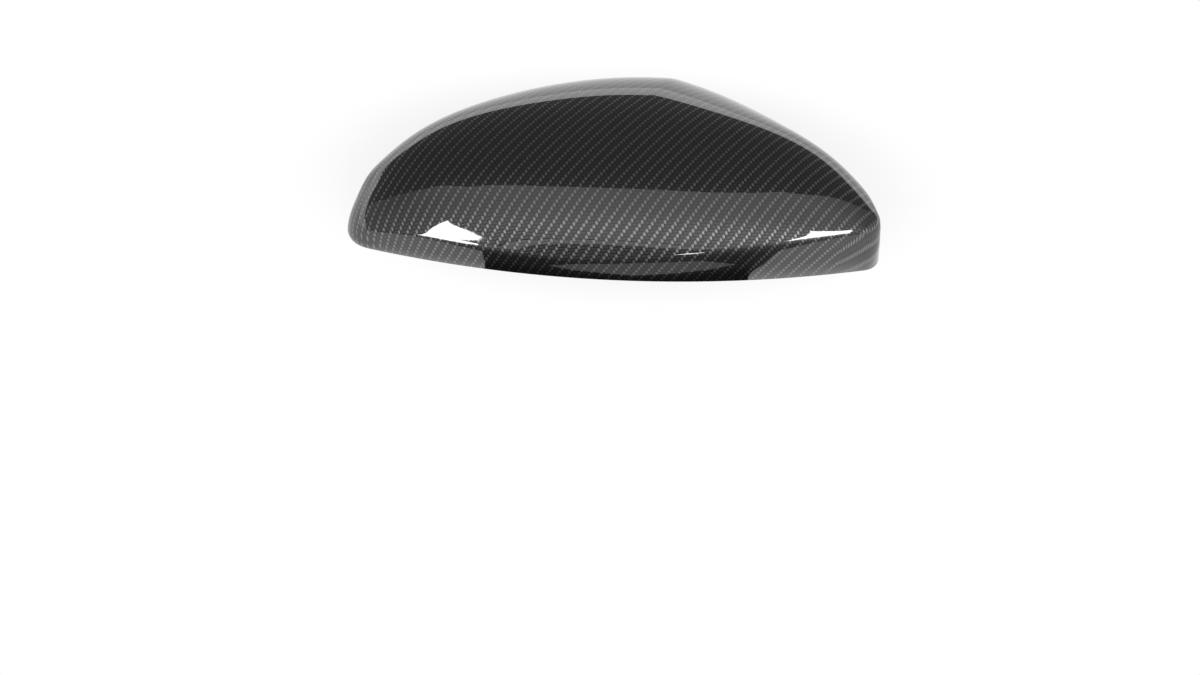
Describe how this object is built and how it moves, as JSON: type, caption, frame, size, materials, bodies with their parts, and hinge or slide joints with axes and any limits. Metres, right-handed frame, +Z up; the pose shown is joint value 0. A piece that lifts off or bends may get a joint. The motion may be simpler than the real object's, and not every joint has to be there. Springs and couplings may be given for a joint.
{
  "type": "wing mirror cover",
  "caption": "Thin crowned shell that covers the back of a car's wing mirror, open underneath, with an upright wall round its rim.",
  "frame": {"origin": "middle of the rim's bounding box, on the plane of the rim", "axes": "+X along the long front edge towards the tall end of the wall, +Y from that edge back to the tip, +Z up from the rim plane to the crown"},
  "size_m": [0.27, 0.1396, 0.0454],
  "materials": {
    "carbon_laminate": "twill carbon-fibre laminate with a gloss clear coat outside and a rough matt resin face inside"
  },
  "bodies": {
    "root": {"cover_shell": "carbon_laminate"}
  },
  "joints": []
}
